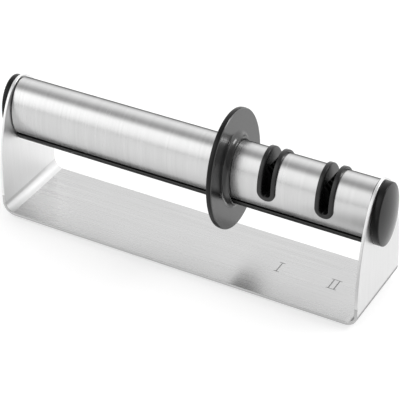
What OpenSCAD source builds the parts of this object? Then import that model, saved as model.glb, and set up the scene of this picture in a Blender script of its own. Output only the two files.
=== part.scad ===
// Pull through knife sharpener: an oval steel grip between the arms of a bent
// steel stand, a finger guard, and two slots with a pair of abrasive rollers in each.
// Frame: X along the grip, knives are pulled along Y, Z up, origin on the table under
// the middle of the stand. Millimetres.

/* [Stand] */
// Distance between the outer faces of the two arms
arm_span = 200; // [170:1:240]
// Width of the steel strip from front to back
base_w = 46; // [42:1:60]
// Thickness of the steel strip
sheet_t = 1.6; // [1.2:0.1:2.2]
// Inner radius of the two bends
bend_r = 5; // [3:0.5:8]
// Height above the strip's underside where the arms begin to narrow
shoulder_h = 11; // [8.5:0.5:16]
// Rise of the rounded arm ends above the grip axis
crown_rise = 17.7; // [17.6:0.1:22]

/* [Anti slip pad] */
// Thickness of the rubber pad under the strip
pad_t = 0.9; // [0.5:0.1:2]
// Distance from the strip's long edges to the pad
pad_inset = 1.5; // [1:0.5:5]
// Corner radius of the pad
pad_corner = 3; // [1:0.5:6]

/* [Grip tube] */
// Height of the grip axis above the table
axis_h = 52.8; // [50:0.1:70]
// Width of the oval tube from front to back
tube_w = 22.3; // [21.5:0.1:26]
// Height of the oval tube
tube_h = 33.4; // [32:0.1:33.8]
// Wall thickness of the tube
tube_wall = 1; // [0.8:0.1:1.2]
// Distance from the grip axis down to the edges of the tube's open bottom
open_drop = 10; // [9.8:0.1:10.4]

/* [Bottom rail] */
// Width of the rail's flange under the tube
rail_w = 16; // [15:0.5:18]
// Thickness of the rail's flange
rail_t = 3.5; // [3.2:0.1:4]
// Distance from the grip axis down to the flange
rail_drop = 11.6; // [11.4:0.1:12]
// Height of the rail's web in the tube's open bottom
web_h = 2.2; // [1.8:0.1:2.4]
// Width of the slope on the rail's long lower edges
slope_w = 1.5; // [0.5:0.1:2.5]
// Height of the slope on the rail's long lower edges
slope_h = 2.2; // [0.5:0.1:3]

/* [Guard] */
// Width of the oval guard from front to back
guard_w = 49.5; // [42:0.1:56]
// Height of the oval guard
guard_h = 63.9; // [58:0.1:70]
// Thickness of the guard's plate
guard_t = 2.9; // [2.4:0.1:4]
// Distance from the right arm's outer face to the middle of the guard's plate
guard_in = 77.3; // [74:0.1:84]
// Width of the flared collar around the tube, at its foot
collar_w = 30; // [29.5:0.1:34]
// Height of the flared collar at its foot
collar_h = 42.6; // [41.8:0.1:46]
// Rise of the collar from the guard's face
collar_rise = 2.6; // [1.8:0.1:3]
// Radius of the collar's hollow flare
flare_r = 3.2; // [3.1:0.1:4]
// Bevel on the guard's rim
rim_bevel = 0.4; // [0.2:0.1:0.8]
// Wall of the rubber seal between the guard and the tube
seal_wall = 0.5; // [0.4:0.1:0.7]
// Depth of the seal in the collar's mouth
seal_depth = 3; // [2:0.5:5]

/* [End caps] */
// Width of an end cap from front to back
cap_w = 23.2; // [22:0.1:26]
// Height of an end cap
cap_h = 33.6; // [33:0.1:34]
// Height of the cap's straight side
cap_side = 3.6; // [3.2:0.1:5]
// Rise of the cap's dome above its side
cap_dome = 2; // [1:0.1:3]
// Wall thickness of the cap
cap_wall = 1.4; // [1:0.1:2]
// Depth of the hollow inside the cap
cap_hollow = 3.1; // [3:0.1:3.4]
// Diameter of the cap's two pegs
peg_d = 3; // [2:0.1:3.4]
// Height of each peg above or below the grip axis
peg_z = 7.5; // [7:0.1:8]
// Length of the pegs inside the end plug
peg_grip = 3; // [2.5:0.1:3.4]

/* [End plugs] */
// Thickness of the plug's flange between tube and arm
flange_t = 0.6; // [0.4:0.1:1]
// Distance of the flange's edge inside the tube's outline
flange_inset = 0.25; // [0:0.05:0.4]
// Length of the plug inside the tube
plug_len = 7; // [6.5:0.1:7.2]
// Wall thickness of the plug
plug_wall = 1.6; // [1.2:0.1:2]
// Thickness of the plug's end plate
plug_plate = 3; // [2:0.1:4]
// Diameter of the plug's screw boss
boss_d = 9; // [8:0.5:10]

/* [Screws and washers] */
// Shank diameter of the end screws
screw_d = 4; // [3:0.5:5]
// Shank length of the end screws
screw_len = 9; // [7:0.5:9.5]
// Head diameter of the end screws
head_d = 7.4; // [6.5:0.1:8]
// Head height of the end screws
head_h = 2.2; // [1.8:0.1:2.3]
// Width across flats of the end screws' hexagon socket
socket_af = 2.5; // [2:0.1:3]
// Thickness of the lock washers
washer_t = 0.5; // [0.4:0.1:0.6]
// Diameter of the lock washers
washer_d = 8; // [7.5:0.1:9]
// Shank diameter of the rail screws
rail_screw_d = 2.6; // [2:0.1:3]
// Head diameter of the rail screws
rail_head_d = 4.6; // [4:0.1:5]
// Head height of the rail screws
rail_head_h = 1.1; // [0.8:0.1:1.3]
// Length of the rail screws' shank above the rail's web
rail_screw_bite = 2.6; // [2:0.1:2.8]

/* [Sharpening slots] */
// Distance from the right arm's outer face to the middle between the two slots
stage_in = 38.9; // [38.6:0.1:42]
// Distance between the two slots
stage_pitch = 30; // [29.5:0.1:32]
// Width of a blade slot
slot_w = 4.6; // [4.4:0.1:5.2]
// Width of the lip around a blade slot
lip_w = 2.4; // [2:0.1:3]
// Rise of the lip beside the tube
lip_t = 0.8; // [0.5:0.1:1.2]
// Rise of the lip above the top of the tube
lip_crest = 1.5; // [0.8:0.1:2]
// Wall thickness of the liner inside the tube's cut
liner_wall = 1.4; // [1:0.1:1.6]
// Distance from the grip axis up to the centre of a slot's round end
slot_lift = 0.6; // [0:0.1:1]

/* [Rollers] */
// Diameter of an abrasive wheel
wheel_d = 14; // [13:0.1:14.4]
// Thickness of an abrasive wheel
wheel_t = 1.4; // [1.2:0.05:1.45]
// Gap between neighbouring wheels of the two rollers
wheel_gap = 0.2; // [0.15:0.01:0.25]
// Number of wheels on the longer roller of a pair
wheel_count = 4; // [3:1:4]
// Sharpening angle on each side of the blade in degrees
edge_angle = 15; // [13:1:18]
// Height of the bottom of the V above the grip axis
vee_rise = 4.6; // [4:0.1:4.8]
// Bevel on a wheel's rims
wheel_bevel = 0.15; // [0.05:0.05:0.3]
// Diameter of the spacer rings between the wheels
spacer_d = 5.2; // [4:0.1:6]
// Diameter of an axle
axle_d = 2; // [1.6:0.1:2.4]
// Gap between an axle and the wheels' bores, measured on the radius
running_gap = 0.05; // [0.02:0.01:0.08]

/* [Cradles] */
// Thickness of the cradle's cheeks
cheek_t = 1.5; // [1.2:0.1:1.7]
// Rise of the cheeks above the axles
cheek_rise = 3.2; // [2.4:0.1:3.6]
// Thickness of the cradle's floor
floor_t = 3; // [2.9:0.1:3.2]

/* [Fits] */
// Gap between fixed pieces that slide together
fit_gap = 0.1; // [0.05:0.01:0.15]
// Gap between fixed pieces that are seated tight
seat_gap = 0.05; // [0.02:0.01:0.08]
// Gap between a pressed pin and its hole, measured on the radius
pin_gap = 0.02; // [0.01:0.005:0.03]
// Gap around moving wheels
wheel_room = 0.3; // [0.2:0.05:0.4]

/* [Hidden] */
// Overrun of every cut past the face that it opens
over = tube_wall;
// Facets of large ovals and of small round parts
fine = 120;
round_fn = 48;

// Stand
bend_out = bend_r + sheet_t;
arm_in = arm_span / 2 - sheet_t;
shoulder_z = pad_t + shoulder_h;
crown_z = axis_h + crown_rise;

// Tube
bore_w = tube_w - 2 * tube_wall;
bore_h = tube_h - 2 * tube_wall;
tube_end = arm_in - flange_t;

// Rail
web_w = bore_w * sqrt(1 - pow(2 * open_drop / bore_h, 2)) - 2 * fit_gap;
web_top = web_h - rail_drop;
rail_low = -rail_drop - rail_t;
rail_len = 2 * (arm_in - fit_gap);
key_depth = rail_t / 4;

// Guard
guard_x = arm_span / 2 - guard_in;
guard_left = guard_x - guard_t / 2;
guard_right = guard_x + guard_t / 2;
guard_squash = guard_w / guard_h;
collar_squash = collar_w / collar_h;
collar_mouth = guard_right + collar_rise;

// Stages
stage_mid = arm_span / 2 - stage_in;
coarse_x = stage_mid - stage_pitch / 2;
fine_x = stage_mid + stage_pitch / 2;
throat_w = slot_w + 2 * liner_wall;

// Rollers
wheel_r = wheel_d / 2;
axle_off = wheel_r * cos(edge_angle);
axle_z = vee_rise - wheel_r * sin(edge_angle);
step_y = wheel_t + wheel_gap;
stack_half = (wheel_count - 1) * step_y + wheel_t / 2;
end_play = wheel_gap;
pocket_half = stack_half + end_play;
cheek_out = pocket_half + cheek_t;

// Cradles
cradle_len = 2 * (axle_off + wheel_r + wheel_room);
cradle_low = web_top + fit_gap;
cradle_top = axle_z + cheek_rise;

// Rail screws: one under each end plug and one under each stage
end_screw_x = tube_end - plug_len + rail_head_d / 2;
rail_screw_x = [-end_screw_x, coarse_x, fine_x, end_screw_x];

module oval(w, h) {
    scale([w / 2, h / 2]) circle(r = 1, $fn = fine);
}

// Extrudes a front to back section along X from x0, about the grip axis
module along_x(x0, len) {
    translate([x0, 0, axis_h]) rotate([90, 0, 90]) linear_extrude(len) children();
}

// Extrudes a shape drawn in X and Z through the grip, about the grip axis at x
module along_y(x, len) {
    translate([x, 0, axis_h]) rotate([90, 0, 0]) linear_extrude(len, center = true) children();
}

// A slot that is open at the top and ends in a half circle
module slot_shape(w) {
    translate([0, slot_lift]) circle(d = w, $fn = round_fn);
    translate([-w / 2, slot_lift]) square([w, tube_h]);
}

// A round bar along Y
module bar_y(x, y, z, d, len) {
    translate([x, y, axis_h + z]) rotate([90, 0, 0])
        cylinder(d = d, h = len, center = true, $fn = round_fn);
}

// A round bar along X, starting at x
module bar_x(x, z, d, len) {
    translate([x, 0, axis_h + z]) rotate([0, 90, 0]) cylinder(d = d, h = len, $fn = round_fn);
}

module rounded_plate(len, w, r) {
    square([len - 2 * r, w], center = true);
    square([len, w - 2 * r], center = true);
    for (sx = [-1, 1], sy = [-1, 1])
        translate([sx * (len / 2 - r), sy * (w / 2 - r)]) circle(r = r, $fn = round_fn);
}

// One arm with its bend, on the right
module arm() {
    difference() {
        translate([arm_in, 0, 0]) rotate([90, 0, 90]) linear_extrude(sheet_t) union() {
            translate([-base_w / 2, pad_t + bend_out])
                square([base_w, shoulder_z - pad_t - bend_out]);
            intersection() {
                translate([0, shoulder_z]) scale([base_w / 2, crown_z - shoulder_z])
                    circle(r = 1, $fn = fine);
                translate([-base_w / 2, shoulder_z]) square([base_w, crown_z]);
            }
        }
        bar_x(arm_in - over, 0, screw_d + 2 * fit_gap, sheet_t + 2 * over);
        for (s = [-1, 1]) bar_x(arm_in - over, s * peg_z, peg_d + 2 * fit_gap, sheet_t + 2 * over);
    }
    translate([arm_span / 2 - bend_out, base_w / 2, pad_t + bend_out]) rotate([90, 0, 0])
        rotate_extrude(angle = -90, $fn = fine) translate([bend_r, 0]) square([sheet_t, base_w]);
}

module stand() {
    color("silver") {
        translate([-(arm_span / 2 - bend_out), -base_w / 2, pad_t])
            cube([arm_span - 2 * bend_out, base_w, sheet_t]);
        arm();
        mirror([1, 0, 0]) arm();
    }
}

module base_pad() {
    color("dimgray") linear_extrude(pad_t)
        rounded_plate(arm_span - 2 * bend_out, base_w - 2 * pad_inset, pad_corner);
}

module grip_tube() {
    color("lightgray") difference() {
        along_x(-tube_end, 2 * tube_end) oval(tube_w, tube_h);
        along_x(-tube_end - over, 2 * (tube_end + over)) oval(bore_w, bore_h);
        translate([-tube_end - over, -tube_w / 2, axis_h - tube_h])
            cube([2 * (tube_end + over), tube_w, tube_h - open_drop]);
        for (x = [coarse_x, fine_x]) along_y(x, 2 * tube_w) slot_shape(throat_w + 2 * fit_gap);
    }
}

// Section of the rail about the grip axis, made smaller by shrink
module rail_section(shrink) {
    half = rail_w / 2 - shrink;
    low = rail_low + shrink;
    polygon([[-half, -rail_drop], [-half, low + slope_h], [slope_w - half, low],
        [half - slope_w, low], [half, low + slope_h], [half, -rail_drop]]);
    translate([-web_w / 2, -rail_drop]) square([web_w, web_h]);
}

module bottom_rail() {
    color("black") difference() {
        union() {
            along_x(-rail_len / 2, guard_left - fit_gap + rail_len / 2) rail_section(0);
            along_x(guard_left - fit_gap, guard_t + 2 * fit_gap) rail_section(key_depth);
            along_x(guard_right + fit_gap, rail_len / 2 - guard_right - fit_gap) rail_section(0);
        }
        for (x = rail_screw_x) {
            translate([x, 0, axis_h + rail_low - over])
                cylinder(d = rail_head_d + 2 * fit_gap, h = over + rail_head_h, $fn = round_fn);
            translate([x, 0, axis_h + rail_low])
                cylinder(d = rail_screw_d + 2 * fit_gap, h = rail_t + web_h + over, $fn = round_fn);
        }
    }
}

module rail_screws() {
    color("gray") for (x = rail_screw_x) translate([x, 0, axis_h + rail_low]) difference() {
        union() {
            cylinder(d = rail_head_d, h = rail_head_h, $fn = round_fn);
            cylinder(d = rail_screw_d, h = rail_t + web_h + rail_screw_bite, $fn = round_fn);
        }
        for (a = [0, 90]) rotate([0, 0, a]) translate([0, 0, rail_head_h / 4])
            cube([rail_screw_d, rail_screw_d / 4, rail_head_h], center = true);
    }
}

// The plug in the right end of the tube
module end_plug() {
    spigot_w = bore_w - 2 * fit_gap;
    spigot_h = bore_h - 2 * fit_gap;
    low_box_w = rail_head_d + 2 * plug_wall;
    difference() {
        union() {
            along_x(tube_end, flange_t)
                oval(tube_w - 2 * flange_inset, tube_h - 2 * flange_inset);
            along_x(tube_end - plug_plate, plug_plate) oval(spigot_w, spigot_h);
            difference() {
                along_x(tube_end - plug_len, plug_len) oval(spigot_w, spigot_h);
                along_x(tube_end - plug_len - over, plug_len + over)
                    oval(spigot_w - 2 * plug_wall, spigot_h - 2 * plug_wall);
            }
            bar_x(tube_end - plug_len, 0, boss_d, plug_len);
            for (s = [-1, 1])
                bar_x(tube_end - plug_len, s * peg_z, peg_d + 2 * plug_wall, plug_len);
            intersection() {
                along_x(tube_end - plug_len, plug_len) oval(spigot_w, spigot_h);
                translate([tube_end - plug_len, -low_box_w / 2, axis_h - spigot_h / 2])
                    cube([plug_len, low_box_w, spigot_h / 2 - peg_z]);
            }
        }
        translate([tube_end - plug_len - over, -web_w, axis_h - tube_h])
            cube([plug_len + flange_t + 2 * over, 2 * web_w, tube_h + web_top + fit_gap]);
        bar_x(tube_end - plug_len - over, 0, screw_d + 2 * seat_gap, plug_len + 2 * over);
        for (s = [-1, 1]) bar_x(arm_in - peg_grip - fit_gap, s * peg_z,
            peg_d + 2 * seat_gap, peg_grip + fit_gap + over);
        translate([end_screw_x, 0, axis_h + web_top])
            cylinder(d = rail_screw_d + 2 * seat_gap, h = rail_screw_bite + fit_gap, $fn = round_fn);
    }
}

module left_end_plug() {
    color("black") mirror([1, 0, 0]) end_plug();
}

module right_end_plug() {
    color("black") end_plug();
}

// The cap on the right arm, with a dome that is rounded less along than across
module end_cap() {
    rise = cap_side + cap_dome;
    long_r = (cap_h * cap_h / 4 + cap_dome * cap_dome) / (2 * cap_dome);
    cross_r = (cap_w * cap_w / 4 + cap_dome * cap_dome) / (2 * cap_dome);
    x0 = arm_span / 2;
    difference() {
        intersection() {
            along_x(x0, rise) oval(cap_w, cap_h);
            translate([x0 + rise - long_r, 0, axis_h]) rotate([90, 0, 0])
                rotate_extrude($fn = 2 * fine) intersection() {
                    translate([long_r - cross_r, 0]) circle(r = cross_r, $fn = 2 * fine);
                    translate([long_r - 2 * rise, -cap_w]) square([2 * rise, 2 * cap_w]);
                }
        }
        along_x(x0 - over, cap_hollow + over) oval(cap_w - 2 * cap_wall, cap_h - 2 * cap_wall);
    }
    for (s = [-1, 1]) bar_x(arm_in - peg_grip, s * peg_z, peg_d,
        peg_grip + sheet_t + cap_hollow + cap_dome / 4);
}

module left_cap() {
    color("dimgray") mirror([1, 0, 0]) end_cap();
}

module right_cap() {
    color("dimgray") end_cap();
}

module end_screw() {
    seat_x = arm_span / 2 + washer_t;
    difference() {
        union() {
            bar_x(seat_x, 0, head_d, head_h);
            bar_x(seat_x - screw_len, 0, screw_d, screw_len);
        }
        translate([seat_x + head_h / 3, 0, axis_h]) rotate([0, 90, 0])
            cylinder(r = socket_af / sqrt(3), h = head_h, $fn = 6);
    }
}

module end_screws() {
    color("gray") {
        end_screw();
        mirror([1, 0, 0]) end_screw();
    }
}

module lock_washers() {
    color("gray") for (s = [0, 1]) mirror([s, 0, 0]) difference() {
        bar_x(arm_span / 2, 0, washer_d, washer_t);
        bar_x(arm_span / 2 - over, 0, screw_d + 2 * fit_gap, washer_t + 2 * over);
    }
}

// The room of the tube with a gap around it, closed below the tube's lower edges
module tube_room(gap) {
    intersection() {
        oval(tube_w + 2 * gap, tube_h + 2 * gap);
        translate([-tube_w, -open_drop - fit_gap]) square([2 * tube_w, 2 * tube_h]);
    }
}

// Half section of the material that the rim bevel at one face takes away
module rim_cut() {
    polygon([[guard_h / 2 - rim_bevel, 0], [guard_h / 2 + over, rim_bevel + over],
        [guard_h / 2 + over, -over], [guard_h / 2 - rim_bevel, -over]]);
}

module guard() {
    color("dimgray") difference() {
        union() {
            difference() {
                along_x(guard_left, guard_t) oval(guard_w, guard_h);
                for (s = [0, 1]) translate([guard_x, 0, axis_h]) mirror([s, 0, 0])
                    scale([1, guard_squash, 1]) translate([-guard_t / 2, 0, 0])
                        rotate([0, 90, 0]) rotate_extrude($fn = fine) rim_cut();
            }
            difference() {
                along_x(guard_left, guard_t + collar_rise) oval(collar_w, collar_h);
                translate([guard_right + flare_r, 0, axis_h]) scale([1, collar_squash, 1])
                    rotate([0, 90, 0]) rotate_extrude($fn = fine)
                        translate([collar_h / 2, 0]) circle(r = flare_r, $fn = fine);
            }
        }
        along_x(guard_left - over, guard_t + collar_rise + 2 * over) tube_room(fit_gap);
        along_x(collar_mouth - seal_depth, seal_depth + over) tube_room(fit_gap + seal_wall);
        along_x(guard_left - over, guard_t + over) rail_section(key_depth - fit_gap);
        along_x(guard_right, collar_rise + over) rail_section(-fit_gap);
    }
}

module guard_seal() {
    color("black") difference() {
        along_x(collar_mouth - seal_depth + seat_gap, seal_depth - seat_gap)
            tube_room(fit_gap + seal_wall - seat_gap);
        along_x(collar_mouth - seal_depth - over, seal_depth + 2 * over)
            oval(tube_w + 2 * seat_gap, tube_h + 2 * seat_gap);
        along_x(collar_mouth - seal_depth - over, seal_depth + 2 * over)
            rail_section(-fit_gap);
    }
}

module slot_liner(x) {
    color("black") difference() {
        intersection() {
            union() {
                along_y(x, 2 * tube_w) slot_shape(throat_w);
                difference() {
                    along_y(x, 2 * tube_w) slot_shape(slot_w + 2 * lip_w);
                    along_x(x - stage_pitch / 2, stage_pitch)
                        oval(tube_w + 2 * seat_gap, tube_h + 2 * seat_gap);
                }
            }
            along_x(x - stage_pitch / 2, stage_pitch)
                oval(tube_w + 2 * lip_t, tube_h + 2 * lip_crest);
        }
        along_y(x, 2 * tube_w) slot_shape(slot_w);
        translate([x - stage_pitch / 2, -cheek_out - fit_gap, axis_h - tube_h])
            cube([stage_pitch, 2 * (cheek_out + fit_gap), tube_h + axle_z + wheel_r + wheel_room]);
    }
}

module coarse_slot_liner() {
    slot_liner(coarse_x);
}

module fine_slot_liner() {
    slot_liner(fine_x);
}

module cradle(x) {
    difference() {
        intersection() {
            along_x(x - cradle_len / 2, cradle_len)
                oval(bore_w - 2 * fit_gap, bore_h - 2 * fit_gap);
            translate([x - cradle_len / 2, -cheek_out, axis_h + cradle_low])
                cube([cradle_len, 2 * cheek_out, cradle_top - cradle_low]);
        }
        translate([x - stage_pitch / 2, -pocket_half, axis_h + cradle_low + floor_t])
            cube([stage_pitch, 2 * pocket_half, tube_h]);
        along_y(x, 2 * tube_w) slot_shape(slot_w);
        for (s = [-1, 1])
            bar_y(x + s * axle_off, 0, axle_z, axle_d + 2 * pin_gap, 2 * tube_w);
        translate([x, 0, axis_h + web_top])
            cylinder(d = rail_screw_d + 2 * seat_gap, h = rail_screw_bite + fit_gap, $fn = round_fn);
    }
}

module coarse_cradle() {
    color("darkslategray") cradle(coarse_x);
}

module fine_cradle() {
    color("darkslategray") cradle(fine_x);
}

module axle(x) {
    color("gainsboro") bar_y(x, 0, axle_z, axle_d, 2 * cheek_out);
}

module coarse_left_axle() {
    axle(coarse_x - axle_off);
}

module coarse_right_axle() {
    axle(coarse_x + axle_off);
}

module fine_left_axle() {
    axle(fine_x - axle_off);
}

module fine_right_axle() {
    axle(fine_x + axle_off);
}

// A ring on an axle: its middle at y, with bevelled rims
module ring_y(x, y, d, t, bevel) {
    bore_r = axle_d / 2 + running_gap;
    translate([x, y, axis_h + axle_z]) rotate([90, 0, 0]) rotate_extrude($fn = fine)
        polygon([[bore_r, -t / 2], [d / 2 - bevel, -t / 2], [d / 2, bevel - t / 2],
            [d / 2, t / 2 - bevel], [d / 2 - bevel, t / 2], [bore_r, t / 2]]);
}

// The wheels of one roller: count of them, two steps apart
module wheels(x, count) {
    for (i = [0:count - 1])
        ring_y(x, (2 * i - (count - 1)) * step_y, wheel_d, wheel_t, wheel_bevel);
}

// The rings between the wheels, and at the ends of the shorter roller
module spacers(x, count) {
    gap = 2 * step_y - wheel_t;
    for (i = [0:count - 2])
        ring_y(x, (2 * i - (count - 2)) * step_y, spacer_d, gap, wheel_bevel);
    if (count < wheel_count) for (s = [-1, 1])
        ring_y(x, s * (stack_half - step_y / 2), spacer_d, step_y, wheel_bevel);
}

module coarse_left_wheels() {
    color("slategray") wheels(coarse_x - axle_off, wheel_count);
}

module coarse_right_wheels() {
    color("slategray") wheels(coarse_x + axle_off, wheel_count - 1);
}

module fine_left_wheels() {
    color("ivory") wheels(fine_x - axle_off, wheel_count);
}

module fine_right_wheels() {
    color("ivory") wheels(fine_x + axle_off, wheel_count - 1);
}

module coarse_left_spacers() {
    color("gray") spacers(coarse_x - axle_off, wheel_count);
}

module coarse_right_spacers() {
    color("gray") spacers(coarse_x + axle_off, wheel_count - 1);
}

module fine_left_spacers() {
    color("gray") spacers(fine_x - axle_off, wheel_count);
}

module fine_right_spacers() {
    color("gray") spacers(fine_x + axle_off, wheel_count - 1);
}

stand();
base_pad();
grip_tube();
bottom_rail();
rail_screws();
left_end_plug();
right_end_plug();
left_cap();
right_cap();
end_screws();
lock_washers();
guard();
guard_seal();
coarse_slot_liner();
fine_slot_liner();
coarse_cradle();
fine_cradle();
coarse_left_axle();
coarse_right_axle();
fine_left_axle();
fine_right_axle();
coarse_left_wheels();
coarse_right_wheels();
fine_left_wheels();
fine_right_wheels();
coarse_left_spacers();
coarse_right_spacers();
fine_left_spacers();
fine_right_spacers();
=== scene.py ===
import math

import bmesh
import bpy
from mathutils import Matrix, Vector


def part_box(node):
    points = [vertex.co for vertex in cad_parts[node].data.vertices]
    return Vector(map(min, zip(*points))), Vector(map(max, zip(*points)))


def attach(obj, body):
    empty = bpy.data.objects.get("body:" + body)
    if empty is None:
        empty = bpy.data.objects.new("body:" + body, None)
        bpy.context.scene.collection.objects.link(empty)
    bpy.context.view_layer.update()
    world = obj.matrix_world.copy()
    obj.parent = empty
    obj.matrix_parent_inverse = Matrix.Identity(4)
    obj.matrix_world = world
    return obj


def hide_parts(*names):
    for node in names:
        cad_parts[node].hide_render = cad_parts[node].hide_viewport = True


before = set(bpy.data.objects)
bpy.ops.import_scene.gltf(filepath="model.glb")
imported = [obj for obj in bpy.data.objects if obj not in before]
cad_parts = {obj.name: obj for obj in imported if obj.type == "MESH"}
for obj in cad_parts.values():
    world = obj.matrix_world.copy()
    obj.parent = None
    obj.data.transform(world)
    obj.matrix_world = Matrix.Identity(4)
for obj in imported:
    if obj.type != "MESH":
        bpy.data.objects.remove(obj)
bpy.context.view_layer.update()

# Lengths are in metres, and MM turns millimetres into metres. Angles are in degrees where a
# name or a comment says so, and in radians otherwise.
MM = 0.001
BODY = "sharpener"

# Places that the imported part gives
_, stand_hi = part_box("stand")
_, pad_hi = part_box("base_pad")
tube_lo, tube_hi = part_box("grip_tube")
guard_lo, guard_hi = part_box("guard")
rail_lo, rail_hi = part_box("bottom_rail")
cap_lo, cap_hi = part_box("right_cap")
screw_lo, screw_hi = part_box("rail_screws")
liner_boxes = {name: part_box(name) for name in ("coarse_slot_liner", "fine_slot_liner")}
slot_x = {name: (lo.x + hi.x) / 2 for name, (lo, hi) in liner_boxes.items()}

# How far cutters reach past what they cut, and how near two points are one
OVERCUT = 1 * MM
WELD = 0.001 * MM

# Stand: a bent strip, with arms that end in half an oval above the shoulder
SHEET = 1.6 * MM
BEND_IN = 5 * MM
BEND_OUT = BEND_IN + SHEET
SHOULDER = 11.9 * MM
ARM_X = stand_hi.x
STRIP_HALF = stand_hi.y
CROWN = stand_hi.z
FLOOR_OF_STRIP = pad_hi.z
STRIP_TOP = FLOOR_OF_STRIP + SHEET
ARM_FOOT = FLOOR_OF_STRIP + BEND_OUT
EDGE_ROUND = 0.28 * MM
BEND_STEPS = 12
CROWN_STEPS = 72
# Limits for a face's normal. Above the first along X it lies on an arm's flat side, and above
# the second it may lie inside the left bend. Below the third along Y it isn't on a long edge.
ARM_SIDE_X = 0.9
BEND_SIDE_X = 0.15
EDGE_SIDE_Y = 0.1

# Grip: an oval tube, open from the drop below its axis downwards
AXIS_Z = (guard_lo.z + guard_hi.z) / 2
TUBE_Y = (tube_hi.y - tube_lo.y) / 2
TUBE_Z = tube_hi.z - AXIS_Z
TUBE_WALL = 1 * MM
TUBE_STEPS = 288
OPEN_DROP = 10 * MM
# The tube's normals lean no further than they do at this height from the axis
STEEPEST_Z = -9 * MM
# A face belongs to the tube's skin when its normal has less than this along X, and at least
# this along the oval's own normal
SKIN_MOST_X = 0.1
SKIN_LEAST_RADIAL = 0.97

# Rail: a foot with sloped lower edges, a web in the tube's opening, and screw holes
RAIL_HALF = rail_hi.y
RAIL_FOOT = 3.5 * MM
SLOPE_W = 1.5 * MM
SLOPE_H = 2.2 * MM
# The band at the top of the rail's sides is flush with them; it and all faces above it are painted black
# as shade below the tube's edge.
RAIL_SHADE_BAND = 0.35 * MM
RAIL_ROUND = 0.15 * MM
SCREW_HEAD = 2.4 * MM
SCREW_DEPTH = 1.1 * MM
SCREW_SIDES = 40

# Guard: a plate with a rounded left edge, a crowned side and a bevelled right edge, and a
# collar that flares out of it
GUARD_T = 2.9 * MM
GUARD_SOFT = 0.5 * MM
GUARD_CROWN = 0.12 * MM
GUARD_BEVEL = 0.32 * MM
COLLAR_Y = 15 * MM
COLLAR_Z = 21.3 * MM
FLARE = 3.2 * MM
MOUTH_ROUND = 0.25 * MM
# The seat of the dark rubber seal, which fills the ring between the collar and the tube as a painted
# shadow gap
SEAL_WALL = 0.5 * MM
SEAL_DEPTH = 3 * MM
TUBE_FIT = 0.1 * MM
GUARD_SEGMENTS = 224
SOFT_STEPS = 5
CROWN_SIDE_STEPS = 8
FLARE_STEPS = 18
MOUTH_STEPS = 3
BORE_STEPS = 200
# The normals of the guard's flat sides have more than this along X
FLAT_SIDE_X = 0.999

# Caps: a straight side between two small rounds, and a dome
CAP_SIDE = 3.6 * MM
CAP_Z = (cap_lo.z + cap_hi.z) / 2
CAP_ROUND = 0.4 * MM
CAP_FOOT = CAP_ROUND / 2
CAP_SEGMENTS = 160
CAP_ROUND_STEPS = 5
# The angle in degrees at which the rim's round ends
CAP_ROUND_END = 75
DOME_STEPS = 22
DOME_FIRST_STEP = 0.15
DOME_TIP = 0.01
# The normals of a cap's side have less than this along X
CAP_SIDE_X = 0.5

# Slots, and the lips around them. The lip rises higher on the top of the tube.
SLOT_HALF = 2.3 * MM
SLOT_LIFT = 0.6 * MM
SLOT_END_STEPS = 32
LIP = 2.4 * MM
LIP_RISE = 0.8 * MM
LIP_CREST = 1.5 * MM
LIP_SOFT_OUT = 0.3 * MM
LIP_SOFT_IN = 0.5 * MM
LIP_SINK = 0.02 * MM
LIP_SIDE_STEPS = 72
LIP_END_STEPS = 28
LIP_OUT_STEPS = 5
LIP_IN_STEPS = 6
LINER_WALL = 1.4 * MM
CHEEK_Y = 7.3 * MM
THROAT_Z = 10.1 * MM
# How far the slots' cutters reach, as shares of the tube's half height and half width
SLOT_CUT_HEIGHT = 1.5
SLOT_CUT_WIDTH = 2

# Stage numerals: upright strokes between two serif bars, on the top of the base
MARK_FRONT = -3.5 * MM
MARK_BACK = 4 * MM
MARK_SERIF = 0.3 * MM
MARK_STROKE = 0.5 * MM
MARK_RISE = 0.03 * MM
# Each numeral's slot, and its left end, right end and strokes from that slot's middle
NUMERALS = {
    "stage_mark_one": ("coarse_slot_liner", -0.2 * MM, 2.7 * MM, [1.25 * MM]),
    "stage_mark_two": ("fine_slot_liner", -2 * MM, 3.6 * MM, [-0.65 * MM, 2.25 * MM]),
}

# The photograph's frame and the camera solved from it
PHOTO_PX = 400
FOCAL_PX = 1736.0
CENTRE_PX = (-6.87, -14.87)
AZIMUTH = math.radians(30.8)
ELEVATION = math.radians(34.67)
ROLL = math.radians(-1.76)
DISTANCE = 846.9 * MM
TARGET = Vector((0, 0, 35.9 * MM))
# The sensor's width is in millimetres
SENSOR = 36
CLIP_NEAR = 0.05
CLIP_FAR = 20

# Studio: the room's brightness at angles in degrees from the front horizon over the top
SKY_STOPS = [(0, 0.9), (4, 1.3), (15, 1.6), (30, 1.75), (44, 1.75), (50, 1.4), (58, 0.85),
             (66, 0.55), (76, 0.5), (90, 0.72), (112, 1.12), (135, 1.32), (180, 1.3)]
SKY_SPAN = 180
# The room dims from left to right, over DIM_X of the direction's X, by up to DIM_MOST. Between
# two angles in degrees the dimming itself fades to DIM_ABOVE of that.
DIM_X = (-0.5, 0.05)
DIM_MOST = 0.85
DIM_ANGLES = (50, 80)
DIM_ABOVE = 0.1
# The lamp behind on the right, with its power in watts
KEY_PLACE = (0.72, 0.3, 0.9)
KEY_AIM = (0, 0, 0.05)
KEY_SIZE = (0.45, 0.45)
KEY_POWER = 4
FLOOR_HALF = 6
FLOOR_DROP = 0.05 * MM
FLOOR_GREY = 0.5
FLOOR_ROUGH = 0.9
FLOOR_GLOW = 0.6
# The stretches of X and of Y over which the dark flag in front of the right end sets in
FLAG_X = (30 * MM, 74 * MM)
FLAG_Y = (-22 * MM, -60 * MM)


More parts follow.
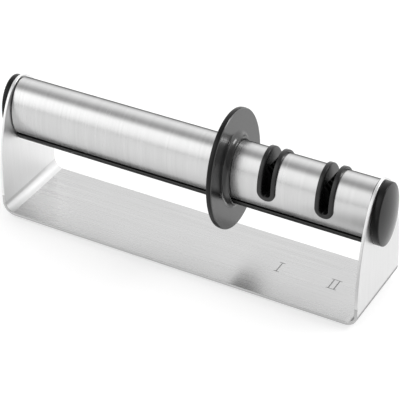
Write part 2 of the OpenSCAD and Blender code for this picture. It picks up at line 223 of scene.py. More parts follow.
def place_camera():
    """The camera that the outlines in the photograph were solved for."""
    back = Vector((math.sin(AZIMUTH) * math.cos(ELEVATION),
                   -math.cos(AZIMUTH) * math.cos(ELEVATION), math.sin(ELEVATION)))
    level = (-back).cross(Vector((0, 0, 1))).normalized()
    upright = level.cross(-back)
    across = level * math.cos(ROLL) + upright * math.sin(ROLL)
    up = upright * math.cos(ROLL) - level * math.sin(ROLL)
    data = bpy.data.cameras.new("camera")
    data.sensor_width = SENSOR
    data.lens = SENSOR * FOCAL_PX / PHOTO_PX
    data.shift_x = -CENTRE_PX[0] / PHOTO_PX
    data.shift_y = CENTRE_PX[1] / PHOTO_PX
    data.clip_start = CLIP_NEAR
    data.clip_end = CLIP_FAR
    camera = bpy.data.objects.new("camera", data)
    bpy.context.collection.objects.link(camera)
    turn = Matrix((across, up, back)).transposed().to_4x4()
    camera.matrix_world = Matrix.Translation(TARGET + back * DISTANCE) @ turn
    bpy.context.scene.camera = camera


# Node helpers

def shader(name):
    """A new material, with its node tree and its Principled shader."""
    mat = bpy.data.materials.new(name)
    mat.use_nodes = True
    tree = mat.node_tree
    return mat, tree, tree.nodes["Principled BSDF"]


def add(tree, kind, **settings):
    """A new node with the settings given."""
    node = tree.nodes.new(kind)
    for key, value in settings.items():
        setattr(node, key, value)
    return node


def calculate(tree, operation, *values):
    """A math node over numbers and other nodes' outputs."""
    node = add(tree, "ShaderNodeMath", operation=operation)
    for socket, value in zip(node.inputs, values):
        if isinstance(value, bpy.types.NodeSocket):
            tree.links.new(value, socket)
        else:
            socket.default_value = value
    return node.outputs["Value"]


def stretch_range(tree, value, start, end, low=0, high=1):
    """Low up to the start, high from the end on, and a straight slope between them."""
    node = add(tree, "ShaderNodeMapRange")
    node.inputs["From Min"].default_value = start
    node.inputs["From Max"].default_value = end
    node.inputs["To Min"].default_value = low
    node.inputs["To Max"].default_value = high
    tree.links.new(value, node.inputs["Value"])
    return node.outputs["Result"]


def axes_of(tree, kind):
    """The X, Y and Z outputs of a kind of texture coordinates."""
    coords = add(tree, "ShaderNodeTexCoord")
    parts = add(tree, "ShaderNodeSeparateXYZ")
    tree.links.new(coords.outputs[kind], parts.inputs["Vector"])
    return parts.outputs["X"], parts.outputs["Y"], parts.outputs["Z"]


# Materials. The picture is black and white, so colours are plain grey levels.

# Noise lies mostly between these values
NOISE_LOW = 0.3
NOISE_HIGH = 0.7
EVEN = (1, 1, 1)

# Steel: scales of the scratches and of the slow changes, and how much each one does
SCRATCH_LENGTH = 60.0
FINE_SCRATCHES = 2600
WIDE_SCRATCHES = 420
STEEL_CLOUDS = 22
FINE_SHARE = 0.6
WIDE_SHARE = 0.4
SCRATCH_GLOSSIER = 0.04
SCRATCH_DULLER = 0.06
CLOUD_GLOSS = 0.015
SCRATCH_DEPTH = 0.01 * MM
SCRATCH_RELIEF = 0.25

# Plastic and rubber
PLASTIC_CLOUDS = 45
PLASTIC_GLOSS = 0.03
PLASTIC_RELIEF = 0.3

# Bonded grit
GRIT = 9000
GRIT_CONTRAST = 0.8
GRIT_IOR = 1.15
GRIT_ROUGH = (0.45, 0.75)
GRIT_DEPTH = 0.04 * MM
GRIT_RELIEF = 0.6


def stretched_noise(tree, scale, stretch=EVEN, detail=4.0, rough=0.6):
    """Noise over the object's own coordinates, drawn out along each axis by stretch."""
    coords = add(tree, "ShaderNodeTexCoord")
    mapping = add(tree, "ShaderNodeMapping")
    mapping.inputs["Scale"].default_value = tuple(1 / s for s in stretch)
    noise = add(tree, "ShaderNodeTexNoise")
    noise.inputs["Scale"].default_value = scale
    noise.inputs["Detail"].default_value = detail
    noise.inputs["Roughness"].default_value = rough
    tree.links.new(coords.outputs["Object"], mapping.inputs["Vector"])
    tree.links.new(mapping.outputs["Vector"], noise.inputs["Vector"])
    return noise.outputs["Fac"]


def spread(tree, noise, low, high):
    """Turns noise into values from low to high."""
    return stretch_range(tree, noise, NOISE_LOW, NOISE_HIGH, low, high)


def tint(tree, noise, dark, light):
    """Mixes two grey levels by noise."""
    node = add(tree, "ShaderNodeMix", data_type="RGBA")
    colours = [s for s in node.inputs if s.type == "RGBA"]
    colours[0].default_value = (dark, dark, dark, 1)
    colours[1].default_value = (light, light, light, 1)
    tree.links.new(spread(tree, noise, 0, 1), node.inputs["Factor"])
    return [s for s in node.outputs if s.type == "RGBA"][0]


def bump(tree, height, distance, strength):
    """Normals that follow a height."""
    node = add(tree, "ShaderNodeBump")
    node.inputs["Strength"].default_value = strength
    node.inputs["Distance"].default_value = distance
    tree.links.new(height, node.inputs["Height"])
    return node.outputs["Normal"]


def brushed_steel(name, dark, light, rough, along, edge=0.9, smear=0.0, turn=0.0):
    """Steel with fine scratches that run along one axis or two, and slow changes of tone.
    Edge is the share of light that it mirrors at a grazing angle. Smear is how much the
    scratches blur what it mirrors, around the X axis or, with a turn of 0.25, along it."""
    mat, tree, principled = shader(name)
    stretch = [SCRATCH_LENGTH if axis in along else 1.0 for axis in "XYZ"]
    if smear:
        around = add(tree, "ShaderNodeTangent", direction_type="RADIAL", axis="X")
        tree.links.new(around.outputs["Tangent"], principled.inputs["Tangent"])
        principled.inputs["Anisotropic"].default_value = smear
        principled.inputs["Anisotropic Rotation"].default_value = turn
    fine = stretched_noise(tree, FINE_SCRATCHES, stretch)
    wide = stretched_noise(tree, WIDE_SCRATCHES, stretch, detail=2.0)
    cloud = stretched_noise(tree, STEEL_CLOUDS, detail=2.0)
    streaks = calculate(tree, "MULTIPLY_ADD", fine, FINE_SHARE,
                        calculate(tree, "MULTIPLY", wide, WIDE_SHARE))
    uneven = calculate(tree, "ADD",
                       spread(tree, streaks, rough - SCRATCH_GLOSSIER, rough + SCRATCH_DULLER),
                       spread(tree, cloud, -CLOUD_GLOSS, CLOUD_GLOSS))
    relief = bump(tree, streaks, SCRATCH_DEPTH, SCRATCH_RELIEF)
    principled.inputs["Metallic"].default_value = 1
    principled.inputs["Specular Tint"].default_value = (edge, edge, edge, 1)
    tree.links.new(tint(tree, streaks, dark, light), principled.inputs["Base Color"])
    tree.links.new(uneven, principled.inputs["Roughness"])
    tree.links.new(relief, principled.inputs["Normal"])
    return mat


def moulded(name, dark, light, rough, depth, grain=2500, ior=1.5):
    """Moulded plastic or rubber with slightly uneven gloss, and a fine grain of a depth."""
    mat, tree, principled = shader(name)
    fine = stretched_noise(tree, grain, detail=3.0)
    cloud = stretched_noise(tree, PLASTIC_CLOUDS, detail=3.0)
    uneven = spread(tree, cloud, rough - PLASTIC_GLOSS, rough + PLASTIC_GLOSS)
    principled.inputs["IOR"].default_value = ior
    tree.links.new(tint(tree, cloud, dark, light), principled.inputs["Base Color"])
    tree.links.new(uneven, principled.inputs["Roughness"])
    tree.links.new(bump(tree, fine, depth, PLASTIC_RELIEF), principled.inputs["Normal"])
    return mat


def abrasive(name, dark, light, metal):
    """Bonded grit: speckled colour and a coarse bump."""
    mat, tree, principled = shader(name)
    grit = stretched_noise(tree, GRIT, detail=2.0, rough=GRIT_CONTRAST)
    principled.inputs["Metallic"].default_value = metal
    principled.inputs["IOR"].default_value = GRIT_IOR
    tree.links.new(tint(tree, grit, dark, light), principled.inputs["Base Color"])
    tree.links.new(spread(tree, grit, *GRIT_ROUGH), principled.inputs["Roughness"])
    tree.links.new(bump(tree, grit, GRIT_DEPTH, GRIT_RELIEF), principled.inputs["Normal"])
    return mat


STEEL_STAND = brushed_steel("stand_steel", dark=0.5, light=0.61, rough=0.27, along="X",
                            edge=0.5, smear=0.5)
# The arms' steel is a lighter copy of the stand's steel: painted light. Its brushing along Z is its own.
STEEL_ARM_PAINTED_LIGHT = brushed_steel("arm_steel_painted_light", dark=0.7, light=0.78, rough=0.34, along="Z", edge=1)
# The arms' inner sides are lighter still: painted light.
STEEL_INNER_PAINTED_LIGHT = brushed_steel("inner_steel_painted_light", dark=0.84, light=0.91, rough=0.42, along="Z", edge=1)
# The arms' sheet edges are lighter again: a painted highlight.
STEEL_EDGE_PAINTED_HIGHLIGHT = brushed_steel("edge_steel_painted_highlight", dark=0.8, light=0.88, rough=0.4, along="X")
STEEL_TUBE = brushed_steel("tube_steel", dark=0.575, light=0.675, rough=0.23, along="YZ",
                           edge=0.05, smear=0.3, turn=0.25)
STEEL_SCREW = brushed_steel("screw_steel", dark=0.5, light=0.6, rough=0.35, along="X")
STEEL_AXLE = brushed_steel("axle_steel", dark=0.6, light=0.7, rough=0.2, along="Y")
BLACK_PLASTIC = moulded("black_plastic", dark=0.006, light=0.012, rough=0.4, depth=0.02 * MM, ior=1.25)
RAIL_PLASTIC = moulded("rail_plastic", dark=0.01, light=0.016, rough=0.32, depth=0.01 * MM, ior=1.55)
# A darker copy of the rail's plastic for its sloped lower edges: painted shade.
RAIL_UNDER_PAINTED_SHADE = moulded("rail_under_painted_shade", dark=0.008, light=0.013, rough=0.36, depth=0.01 * MM, ior=1.38)
# The rail's top and the band below the tube's edge: painted shade.
RAIL_PAINTED_SHADE = moulded("rail_painted_shade", dark=0.001, light=0.002, rough=0.5, depth=0.01 * MM, ior=1.1)
LINER_PLASTIC = moulded("liner_plastic", dark=0.006, light=0.011, rough=0.26, depth=0.006 * MM)
SATIN_PLASTIC = moulded("satin_plastic", dark=0.01, light=0.015, rough=0.22, depth=0.003 * MM,
                        grain=2200, ior=1.8)
DOME_PLASTIC = moulded("dome_plastic", dark=0.009, light=0.014, rough=0.2, depth=0.003 * MM,
                       grain=2200, ior=1.4)
# A darker, duller copy of the dark plastic for the caps' sides and the guard's rim: painted shade.
SIDE_PLASTIC_PAINTED_SHADE = moulded("side_plastic_painted_shade", dark=0.006, light=0.01, rough=0.3, depth=0.006 * MM, ior=1.3)
# A lighter line on the guard's right bevel: a painted highlight.
EDGE_PAINTED_HIGHLIGHT = moulded("edge_painted_highlight", dark=0.05, light=0.1, rough=0.3, depth=0.004 * MM, ior=1.8)
RUBBER = moulded("rubber", dark=0.014, light=0.022, rough=0.7, depth=0.04 * MM, grain=1800, ior=1.45)
NYLON = moulded("nylon", dark=0.004, light=0.008, rough=0.5, depth=0.01 * MM, grain=1500, ior=1.2)
MARK_INK = moulded("etched_mark", dark=0.2, light=0.26, rough=0.55, depth=0.002 * MM, grain=3000)
COARSE_GRIT = abrasive("coarse_grit", dark=0.004, light=0.012, metal=0.1)
FINE_GRIT = abrasive("fine_grit", dark=0.005, light=0.014, metal=0.0)


# Mesh helpers

def as_object(name, bm):
    """Turns bmesh geometry into an object of the scene."""
    mesh = bpy.data.meshes.new(name)
    bm.to_mesh(mesh)
    bm.free()
    obj = bpy.data.objects.new(name, mesh)
    bpy.context.collection.objects.link(obj)
    return obj


def closed_object(name, bm):
    """Turns closed bmesh geometry into an object whose faces look outwards."""
    bmesh.ops.recalc_face_normals(bm, faces=bm.faces)
    return as_object(name, bm)


def piece(name, bm, material, nodes=()):
    """Turns bmesh geometry into a named piece that rides on the sharpener's body."""
    obj = closed_object(name, bm)
    obj.data.materials.append(material)
    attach(obj, BODY)
    if nodes:
        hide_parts(*nodes)
    return obj


def shade(obj, sharp):
    """Smooth shading that keeps edges sharper than an angle in degrees."""
    for face in obj.data.polygons:
        face.use_smooth = True
    obj.data.set_sharp_from_angle(angle=math.radians(sharp))


def paint(obj, extra, choose):
    """Adds materials to a piece. Choose names one of them for a face, or None."""
    for material in extra:
        obj.data.materials.append(material)
    for face in obj.data.polygons:
        material = choose(face)
        if material is not None:
            face.material_index = 1 + extra.index(material)


def set_normals(obj, wanted):
    """Sets the normals of corners. Wanted gives one for a face and a corner's place, or None."""
    mesh = obj.data
    normals = [tuple(n.vector) for n in mesh.corner_normals]
    for face in mesh.polygons:
        for corner in face.loop_indices:
            normal = wanted(face, mesh.vertices[mesh.loops[corner].vertex_index].co)
            if normal is not None:
                normals[corner] = tuple(normal)
    mesh.normals_split_custom_set(normals)


def bake_modifiers(obj):
    """Replaces a piece's mesh by what its modifiers make of it."""
    graph = bpy.context.evaluated_depsgraph_get()
    mesh = bpy.data.meshes.new_from_object(obj.evaluated_get(graph))
    old = obj.data
    obj.modifiers.clear()
    obj.data = mesh
    bpy.data.meshes.remove(old)


def round_edges(obj, width, segments, angle):
    """Rounds the edges that are sharper than an angle in degrees."""
    bevel = obj.modifiers.new("edges", "BEVEL")
    bevel.width = width
    bevel.segments = segments
    bevel.limit_method = "ANGLE"
    bevel.angle_limit = math.radians(angle)
    bevel.miter_outer = "MITER_ARC"
    bake_modifiers(obj)
    shade(obj, sharp=40)
    normals = obj.modifiers.new("normals", "WEIGHTED_NORMAL")
    normals.keep_sharp = True


def cut(obj, solids):
    """Cuts closed bmesh geometry out of a piece."""
    cutters = [closed_object("cutter", bm) for bm in solids]
    for cutter in cutters:
        tool = obj.modifiers.new("cut", "BOOLEAN")
        tool.operation = "DIFFERENCE"
        tool.solver = "EXACT"
        tool.object = cutter
    bake_modifiers(obj)
    for cutter in cutters:
        mesh = cutter.data
        bpy.data.objects.remove(cutter)
        bpy.data.meshes.remove(mesh)


def band(bm, one, two, closed=True):
    """Joins two rows of points by four-sided faces, all the way round if closed."""
    count = len(one)
    for i in range(count if closed else count - 1):
        j = (i + 1) % count
        bm.faces.new((one[i], one[j], two[j], two[i]))


# Each of these places a point (u, v) of an outline at a depth along one axis.

def along_x(u, v, depth):
    return (depth, u, v)


def along_y(u, v, depth):
    return (u, depth, v)


def along_z(u, v, depth):
    return (u, v, depth)


def prism(outline, start, end, place):
    """A closed prism over an outline. Place is along_x, along_y or along_z."""
    bm = bmesh.new()
    near = [bm.verts.new(place(u, v, start)) for u, v in outline]
    far = [bm.verts.new(place(u, v, end)) for u, v in outline]
    bm.faces.new(near)
    bm.faces.new(list(reversed(far)))
    band(bm, near, far)
    return bm


def arc(centre, radius, start, end, steps):
    """Points of an arc, with its angles in degrees."""
    points = []
    for i in range(steps + 1):
        a = math.radians(start + (end - start) * i / steps)
        points.append((centre[0] + radius * math.cos(a), centre[1] + radius * math.sin(a)))
    return points


def turns(steps, end=90):
    """The sine and cosine of angles in even steps from 0 to the end, in degrees."""
    angles = [math.radians(end * i / steps) for i in range(steps + 1)]
    return [(math.sin(a), math.cos(a)) for a in angles]


def open_oval(half_y, half_z, drop, steps):
    """An oval in Y and Z about the grip's axis, open from the drop below it downwards."""
    first = math.acos(drop / half_z)
    points = []
    for i in range(steps + 1):
        a = first + (2 * math.pi - 2 * first) * i / steps
        points.append((half_y * math.sin(a), AXIS_Z - half_z * math.cos(a)))
    return points


def oval_normal(y, z, half_y, half_z):
    """The outward normal at a point of an oval about X, measured from its axis."""
    return Vector((0, y / half_y ** 2, z / half_z ** 2)).normalized()


def oval_loft(rings, segments, middle_z=AXIS_Z):
    """Skins ovals about a line along X. Each ring is (x, half width, half height)."""
    bm = bmesh.new()
    loops = []
    for x, half_y, half_z in rings:
        loop = []
        for i in range(segments):
            a = 2 * math.pi * i / segments
            loop.append(bm.verts.new((x, half_y * math.cos(a), middle_z + half_z * math.sin(a))))
        loops.append(loop)
    bm.faces.new(loops[0])
    bm.faces.new(list(reversed(loops[-1])))
    for one, two in zip(loops, loops[1:]):
        band(bm, one, two)
    return bm


# Pieces

def make_stand():
    """The bent strip: flat base, two bends, and two arms with rounded ends."""
    bm = bmesh.new()
    flat_x = ARM_X - BEND_OUT

    def bend(side, radius):
        """Rows across the strip on one side of a bend, from the base up to the arm."""
        rows = []
        for sine, cosine in turns(BEND_STEPS):
            x, z = side * (flat_x + radius * sine), ARM_FOOT - radius * cosine
            rows.append([bm.verts.new((x, y, z)) for y in (-STRIP_HALF, STRIP_HALF)])
        for a, b in zip(rows, rows[1:]):
            bm.faces.new((a[0], a[1], b[1], b[0]))
        return rows

    outline = [(-STRIP_HALF, SHOULDER)]
    for i in range(1, CROWN_STEPS):
        a = math.pi * i / CROWN_STEPS
        outline.append((-STRIP_HALF * math.cos(a), SHOULDER + (CROWN - SHOULDER) * math.sin(a)))
    outline.append((STRIP_HALF, SHOULDER))

    feet = {}
    for side in (-1, 1):
        outer = bend(side, BEND_OUT)
        inner = bend(side, BEND_IN)
        for edge in (0, 1):
            band(bm, [row[edge] for row in outer], [row[edge] for row in inner], closed=False)
        rings = []
        for rows, x in ((outer, ARM_X), (inner, ARM_X - SHEET)):
            arm = [bm.verts.new((side * x, y, z)) for y, z in outline]
            rings.append([rows[-1][0], *arm, rows[-1][1]])
            bm.faces.new(rings[-1])
        band(bm, *rings, closed=False)
        feet[side] = (outer[0], inner[0])
    for layer in (0, 1):
        a, b = feet[-1][layer], feet[1][layer]
        bm.faces.new((a[0], a[1], b[1], b[0]))
    for edge in (0, 1):
        bm.faces.new((feet[-1][0][edge], feet[1][0][edge], feet[1][1][edge], feet[-1][1][edge]))
    obj = piece("stand_strip", bm, STEEL_STAND, ["stand"])
    round_edges(obj, EDGE_ROUND, segments=3, angle=50)

    def look(face):
        centre, normal = face.center, face.normal
        # The arms' flat sides take lighter copies of the steel, the inner sides the lightest: painted
        # light.
        if abs(normal.x) > ARM_SIDE_X and centre.z > ARM_FOOT:
            return STEEL_INNER_PAINTED_LIGHT if normal.x * centre.x < 0 else STEEL_ARM_PAINTED_LIGHT
        # The inside of the left bend takes the arms' lighter steel: a painted highlight.
        if centre.x < 0 and normal.x > BEND_SIDE_X and abs(normal.y) < EDGE_SIDE_Y:
            return STEEL_ARM_PAINTED_LIGHT
        # The arms' sheet edges above the shoulder carry a painted highlight.
        on_arm = abs(centre.x) > ARM_X - SHEET - EDGE_ROUND and centre.z > SHOULDER
        return STEEL_EDGE_PAINTED_HIGHLIGHT if on_arm and abs(normal.x) < ARM_SIDE_X else None

    paint(obj, [STEEL_ARM_PAINTED_LIGHT, STEEL_EDGE_PAINTED_HIGHLIGHT, STEEL_INNER_PAINTED_LIGHT], look)


def slot_outline(x, half):
    """A slot's outline in X and Z: a round lower end and straight sides to above the tube."""
    low = AXIS_Z + SLOT_LIFT
    top = AXIS_Z + TUBE_Z * SLOT_CUT_HEIGHT
    return [(x + half, top)] + arc((x, low), half, 0, -180, SLOT_END_STEPS) + [(x - half, top)]


def make_tube():
    """The oval tube, open along the bottom, with both slots cut through its top."""
    outside = open_oval(TUBE_Y, TUBE_Z, OPEN_DROP, TUBE_STEPS)
    inside = open_oval(TUBE_Y - TUBE_WALL, TUBE_Z - TUBE_WALL, OPEN_DROP, TUBE_STEPS)
    bm = prism(outside + list(reversed(inside)), tube_lo.x, tube_hi.x, along_x)
    obj = piece("grip", bm, STEEL_TUBE, ["grip_tube"])
    half = SLOT_HALF + LINER_WALL + TUBE_FIT
    reach = SLOT_CUT_WIDTH * TUBE_Y
    cut(obj, [prism(slot_outline(x, half), -reach, reach, along_y) for x in slot_x.values()])
    shade(obj, sharp=30)

    def even(face, point):
        """The oval's own normal on the skin, so that the long thin faces reflect evenly."""
        centre = face.center
        lean = face.normal.dot(oval_normal(centre.y, centre.z - AXIS_Z, TUBE_Y, TUBE_Z))
        if abs(face.normal.x) > SKIN_MOST_X or abs(lean) < SKIN_LEAST_RADIAL:
            return None
        height = max(point.z - AXIS_Z, STEEPEST_Z)
        if lean > 0:
            return oval_normal(point.y, height, TUBE_Y, TUBE_Z)
        return -oval_normal(point.y, height, TUBE_Y - TUBE_WALL, TUBE_Z - TUBE_WALL)

    set_normals(obj, even)


def rail_outline(grow):
    """The rail's section in Y and Z, with a gap of grow around it."""
    half = RAIL_HALF + grow
    low = rail_lo.z - grow
    foot_top = rail_lo.z + RAIL_FOOT
    shade_band = foot_top - RAIL_SHADE_BAND
    web_half = (TUBE_Y - TUBE_WALL) * math.sqrt(1 - (OPEN_DROP / (TUBE_Z - TUBE_WALL)) ** 2) - TUBE_FIT
    return [(-half, foot_top), (-half, shade_band), (-half, low + SLOPE_H), (SLOPE_W - half, low),
            (half - SLOPE_W, low), (half, low + SLOPE_H), (half, shade_band), (half, foot_top),
            (web_half, foot_top), (web_half, rail_hi.z), (-web_half, rail_hi.z), (-web_half, foot_top)]


def make_rail():
    """The black rail, with a web in the tube's open bottom and sloped lower edges."""
    low = rail_lo.z
    bm = prism(rail_outline(0), rail_lo.x, rail_hi.x, along_x)
    obj = piece("rail", bm, RAIL_PLASTIC, ["bottom_rail"])
    holes = []
    for x in (screw_lo.x + SCREW_HEAD, screw_hi.x - SCREW_HEAD, *slot_x.values()):
        ring = arc((x, 0), SCREW_HEAD, 0, 360, SCREW_SIDES)[:-1]
        holes.append(prism(ring, low - OVERCUT, low + SCREW_DEPTH, along_z))
    cut(obj, holes)
    round_edges(obj, RAIL_ROUND, segments=2, angle=35)

    def look(face):
        # The top of the rail, its web and the top band of its sides: painted shade.
        if face.center.z > low + RAIL_FOOT - RAIL_SHADE_BAND:
            return RAIL_PAINTED_SHADE
        # The sloped lower edges: painted shade.
        return RAIL_UNDER_PAINTED_SHADE if face.center.z < low + SLOPE_H else None

    paint(obj, [RAIL_PAINTED_SHADE, RAIL_UNDER_PAINTED_SHADE], look)


def make_guard():
    """The oval guard plate with a rounded rim and a flared collar on its right face."""
    left = guard_lo.x
    right = left + GUARD_T
    mouth = guard_hi.x
    plate_y, plate_z = guard_hi.y, guard_hi.z - AXIS_Z
    rings = []
    for sine, cosine in turns(SOFT_STEPS):
        inset = GUARD_CROWN + GUARD_SOFT * (1 - sine)
        rings.append((left + GUARD_SOFT * (1 - cosine), plate_y - inset, plate_z - inset))
    side = GUARD_T - GUARD_SOFT - GUARD_BEVEL
    for i in range(1, CROWN_SIDE_STEPS + 1):
        share = i / CROWN_SIDE_STEPS
        inset = GUARD_CROWN * (2 * share - 1) ** 2
        rings.append((left + GUARD_SOFT + side * share, plate_y - inset, plate_z - inset))
    rings.append((right, plate_y - GUARD_CROWN - GUARD_BEVEL, plate_z - GUARD_CROWN - GUARD_BEVEL))
    rise = mouth - right
    for sine, cosine in turns(FLARE_STEPS):
        height = (rise - MOUTH_ROUND) * (1 - cosine)
        reach = math.sqrt(FLARE ** 2 - (FLARE - height) ** 2)
        rings.append((right + height, COLLAR_Y - reach * COLLAR_Y / COLLAR_Z, COLLAR_Z - reach))
    _, last_y, last_z = rings[-1]
    for sine, cosine in turns(MOUTH_STEPS)[1:]:
        drop = MOUTH_ROUND * (1 - cosine)
        rings.append((mouth - MOUTH_ROUND * (1 - sine), last_y - drop, last_z - drop))
    bm = oval_loft(rings, GUARD_SEGMENTS)
    obj = piece("finger_guard", bm, SATIN_PLASTIC, ["guard"])
    bore, seat = (open_oval(TUBE_Y + gap, TUBE_Z + gap, OPEN_DROP + TUBE_FIT, BORE_STEPS)
                  for gap in (TUBE_FIT, TUBE_FIT + SEAL_WALL))
    cut(obj, [prism(bore, left - OVERCUT, mouth + OVERCUT, along_x),
              prism(seat, mouth - SEAL_DEPTH, mouth + OVERCUT, along_x),
              prism(rail_outline(TUBE_FIT), left - OVERCUT, mouth + OVERCUT, along_x)])
    shade(obj, sharp=35)

    def square(face, _):
        """The cut leaves odd faces in the flat sides, so their normals are set square."""
        return (math.copysign(1, face.normal.x), 0, 0) if abs(face.normal.x) > FLAT_SIDE_X else None

    def look(face):
        # The guard's rim is painted darker than its flat sides: painted shade.
        centre = face.center
        on_rim = centre.y ** 2 + (centre.z - AXIS_Z) ** 2 > COLLAR_Z ** 2
        if abs(face.normal.x) > FLAT_SIDE_X or not on_rim:
            return None
        # The middle of the right bevel carries a painted highlight.
        on_bevel = abs(centre.x - (right - GUARD_BEVEL / 2)) < GUARD_BEVEL / 4
        return EDGE_PAINTED_HIGHLIGHT if on_bevel else SIDE_PLASTIC_PAINTED_SHADE

    set_normals(obj, square)
    paint(obj, [EDGE_PAINTED_HIGHLIGHT, SIDE_PLASTIC_PAINTED_SHADE], look)


def make_cap(name, side):
    """A domed end cap: straight side, small round at the rim, dome, and closed back."""
    half_y, half_z = (cap_hi.y - cap_lo.y) / 2, (cap_hi.z - cap_lo.z) / 2
    rim = ARM_X + CAP_SIDE
    dome = cap_hi.x - ARM_X - CAP_SIDE
    rings = [(ARM_X, half_y - CAP_FOOT, half_z - CAP_FOOT),
             (ARM_X + CAP_FOOT / 2, half_y - CAP_FOOT / 4, half_z - CAP_FOOT / 4),
             (ARM_X + CAP_FOOT, half_y, half_z)]
    for sine, cosine in turns(CAP_ROUND_STEPS, CAP_ROUND_END):
        inset = CAP_ROUND * (1 - cosine)
        rings.append((rim - CAP_ROUND + CAP_ROUND * sine, half_y - inset, half_z - inset))
    for i in range(DOME_STEPS):
        a = math.pi / 2 * (i + DOME_FIRST_STEP) / DOME_STEPS
        share = (1 - CAP_ROUND / half_z) * math.cos(a)
        rings.append((rim + dome * (1 - share ** 2), half_y * share, half_z * share))
    rings.append((cap_hi.x, half_y * DOME_TIP, half_z * DOME_TIP))
    rings = [(side * x, y, z) for x, y, z in rings]
    bm = oval_loft(rings, CAP_SEGMENTS, middle_z=CAP_Z)
    obj = piece(name + "_shell", bm, DOME_PLASTIC, [name])
    shade(obj, sharp=32)

    def look(face):
        # The cap's side is painted darker than its dome: painted shade.
        return SIDE_PLASTIC_PAINTED_SHADE if abs(face.normal.x) < CAP_SIDE_X else None

    paint(obj, [SIDE_PLASTIC_PAINTED_SHADE], look)


def make_liner(node):
    """The lip around a slot: a rounded band swept along the slot's edge, on the oval."""
    start = math.asin(SLOT_LIFT / TUBE_Z)
    over = math.pi - 2 * start
    # Stations around the slot: over the tube on the right, round the back end, over the tube
    # again on the left, and round the front end
    stations = [("side", 1, start + over * i / LIP_SIDE_STEPS) for i in range(LIP_SIDE_STEPS)]
    stations += [("end", 1, math.pi * i / LIP_END_STEPS) for i in range(LIP_END_STEPS)]
    stations += [("side", -1, math.pi - start - over * i / LIP_SIDE_STEPS) for i in range(LIP_SIDE_STEPS)]
    stations += [("end", -1, math.pi - math.pi * i / LIP_END_STEPS) for i in range(LIP_END_STEPS)]

    def on_tube(station, reach):
        """The point of the tube's outside that lies the reach from the slot's middle line."""
        kind, way, a = station
        if kind == "side":
            return Vector((slot_x[node] + way * reach, -TUBE_Y * math.cos(a), TUBE_Z * math.sin(a)))
        z = SLOT_LIFT - reach * math.sin(a)
        y = way * TUBE_Y * math.sqrt(1 - (z / TUBE_Z) ** 2)
        return Vector((slot_x[node] + reach * math.cos(a), y, z))

    def surface(station, reach, height):
        """A point above the tube: height is a share of the lip's rise, which grows upwards."""
        point = on_tube(station, reach)
        away = oval_normal(point.y, point.z, TUBE_Y, TUBE_Z)
        crest = LIP_RISE + (LIP_CREST - LIP_RISE) * max(0, away.z) ** 2
        return point + away * (height * crest / LIP_RISE if height > 0 else height)

    def throat(station, reach):
        """A point of the liner's inner end, inside the tube."""
        point = on_tube(station, reach)
        y = max(-CHEEK_Y, min(CHEEK_Y, point.y))
        if point.z > THROAT_Z:
            return Vector((point.x, y, THROAT_Z))
        return Vector((point.x, math.copysign(CHEEK_Y, point.y), point.z))

    outer = SLOT_HALF + LIP
    wall = SLOT_HALF + LINER_WALL
    profile = [(outer, -LIP_SINK)]
    profile += arc((outer - LIP_SOFT_OUT, LIP_RISE - LIP_SOFT_OUT), LIP_SOFT_OUT, 0, 90, LIP_OUT_STEPS)
    profile += arc((SLOT_HALF + LIP_SOFT_IN, LIP_RISE - LIP_SOFT_IN), LIP_SOFT_IN, 90, 180, LIP_IN_STEPS)
    profile += [(SLOT_HALF, -TUBE_WALL)]
    bm = bmesh.new()
    rows = []
    for station in stations:
        row = [surface(station, reach, height) for reach, height in profile]
        row += [throat(station, SLOT_HALF), throat(station, wall)]
        row += [surface(station, wall, -TUBE_WALL), surface(station, wall, -LIP_SINK)]
        rows.append([bm.verts.new((p.x, p.y, p.z + AXIS_Z)) for p in row])
    for row, following in zip(rows, rows[1:] + rows[:1]):
        band(bm, row, following)
    bmesh.ops.remove_doubles(bm, verts=bm.verts, dist=WELD)
    obj = piece(node + "_lip", bm, LINER_PLASTIC, [node])
    shade(obj, sharp=35)


def make_mark(name, left, right, strokes):
    """An etched stage numeral between a left and a right end, with strokes at places in X."""
    bars = [(left, right, MARK_FRONT, MARK_FRONT + MARK_SERIF),
            (left, right, MARK_BACK - MARK_SERIF, MARK_BACK)]
    for x in strokes:
        bars.append((x - MARK_STROKE / 2, x + MARK_STROKE / 2,
                     MARK_FRONT + MARK_SERIF, MARK_BACK - MARK_SERIF))
    bm = bmesh.new()
    for x0, x1, y0, y1 in bars:
        corners = [(x0, y0), (x1, y0), (x1, y1), (x0, y1)]
        lower = [bm.verts.new((x, y, STRIP_TOP - MARK_RISE / 2)) for x, y in corners]
        upper = [bm.verts.new((x, y, STRIP_TOP + MARK_RISE)) for x, y in corners]
        bm.faces.new(upper)
        bm.faces.new(list(reversed(lower)))
        band(bm, lower, upper)
    piece(name, bm, MARK_INK)


def dress_nodes():
    """Gives the nodes that keep their own shape their detailed materials."""
    looks = {
        "base_pad": RUBBER, "rail_screws": STEEL_SCREW, "left_end_plug": BLACK_PLASTIC,
        "right_end_plug": BLACK_PLASTIC, "end_screws": STEEL_SCREW, "lock_washers": STEEL_SCREW,
        # The guard's seal is dark rubber filling the gap between the collar and the tube: a painted
        # shadow gap.
        "guard_seal": RUBBER, "coarse_cradle": BLACK_PLASTIC, "fine_cradle": BLACK_PLASTIC,
    }
    for stage, grit in (("coarse", COARSE_GRIT), ("fine", FINE_GRIT)):
        for side in ("left", "right"):
            looks[f"{stage}_{side}_axle"] = STEEL_AXLE
            looks[f"{stage}_{side}_wheels"] = grit
            looks[f"{stage}_{side}_spacers"] = NYLON
    for name, material in looks.items():
        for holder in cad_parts[name].material_slots:
            holder.material = material


# Studio

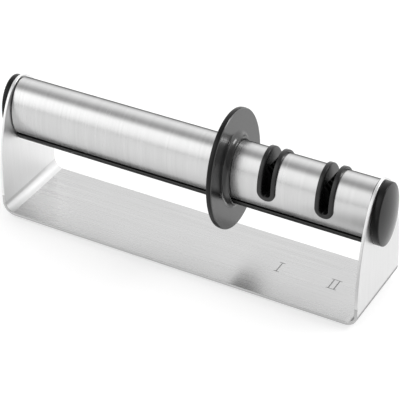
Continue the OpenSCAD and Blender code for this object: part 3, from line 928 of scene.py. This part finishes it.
def sky():
    """A white studio: soft boxes all round, with a dim gap high in front."""
    world = bpy.data.worlds.new("studio")
    bpy.context.scene.world = world
    world.use_nodes = True
    tree = world.node_tree
    background = tree.nodes["Background"]
    x, y, z = axes_of(tree, "Generated")
    angle = calculate(tree, "ARCTAN2", z, calculate(tree, "MULTIPLY", y, -1))
    ramp = add(tree, "ShaderNodeValToRGB")
    colours = ramp.color_ramp.elements
    colours[0].position = SKY_STOPS[0][0] / SKY_SPAN
    colours[1].position = SKY_STOPS[-1][0] / SKY_SPAN
    for at, _ in SKY_STOPS[1:-1]:
        colours.new(at / SKY_SPAN)
    for colour, (_, level) in zip(colours, SKY_STOPS):
        colour.color = (level, level, level, 1)
    tree.links.new(stretch_range(tree, angle, 0, math.pi), ramp.inputs["Fac"])
    tree.links.new(ramp.outputs["Color"], background.inputs["Color"])
    # The front of the room grows dimmer towards the right
    rightward = stretch_range(tree, x, *DIM_X, 0, DIM_MOST)
    low, high = (math.radians(degrees) for degrees in DIM_ANGLES)
    in_front = stretch_range(tree, angle, low, high, 1, DIM_ABOVE)
    dimming = calculate(tree, "MULTIPLY", rightward, in_front)
    tree.links.new(calculate(tree, "SUBTRACT", 1, dimming), background.inputs["Strength"])


def lamp(name, place, aim, size, power):
    """A soft rectangular lamp that looks at a point."""
    data = bpy.data.lights.new(name, "AREA")
    data.shape = "RECTANGLE"
    data.size, data.size_y = size
    data.energy = power
    obj = bpy.data.objects.new(name, data)
    obj.location = place
    obj.rotation_mode = "QUATERNION"
    obj.rotation_quaternion = (Vector(aim) - Vector(place)).to_track_quat("-Z", "Y")
    bpy.context.collection.objects.link(obj)


def floor():
    """A white table. Seen or mirrored it is white, and it keeps a soft shadow. What the
    object mirrors of it is dimmer in front of the right end, as under a dark flag."""
    mat, tree, principled = shader("floor_white")
    principled.inputs["Base Color"].default_value = (FLOOR_GREY, FLOOR_GREY, FLOOR_GREY, 1)
    principled.inputs["Roughness"].default_value = FLOOR_ROUGH
    principled.inputs["Specular IOR Level"].default_value = 0
    principled.inputs["Emission Color"].default_value = (1, 1, 1, 1)
    path = add(tree, "ShaderNodeLightPath")
    x, y, _ = axes_of(tree, "Object")
    flag = calculate(tree, "MULTIPLY", stretch_range(tree, x, *FLAG_X), stretch_range(tree, y, *FLAG_Y))
    mirrored = calculate(tree, "SUBTRACT", path.outputs["Is Glossy Ray"], flag)
    seen = calculate(tree, "MAXIMUM", path.outputs["Is Camera Ray"], mirrored)
    also = calculate(tree, "MAXIMUM", seen, path.outputs["Is Transmission Ray"])
    glow = calculate(tree, "MULTIPLY", also, FLOOR_GLOW)
    tree.links.new(glow, principled.inputs["Emission Strength"])
    bm = bmesh.new()
    corners = [(-FLOOR_HALF, -FLOOR_HALF), (FLOOR_HALF, -FLOOR_HALF),
               (FLOOR_HALF, FLOOR_HALF), (-FLOOR_HALF, FLOOR_HALF)]
    bm.faces.new([bm.verts.new((x, y, -FLOOR_DROP)) for x, y in corners])
    obj = as_object("floor", bm)
    obj.data.materials.append(mat)


place_camera()
make_stand()
make_tube()
make_rail()
make_guard()
make_cap("left_cap", -1)
make_cap("right_cap", 1)
for node in slot_x:
    make_liner(node)
for name, (slot, left, right, strokes) in NUMERALS.items():
    middle = slot_x[slot]
    make_mark(name, middle + left, middle + right, [middle + x for x in strokes])
dress_nodes()
sky()
lamp("key", KEY_PLACE, KEY_AIM, KEY_SIZE, KEY_POWER)
floor()
bpy.context.scene.view_settings.view_transform = "Standard"
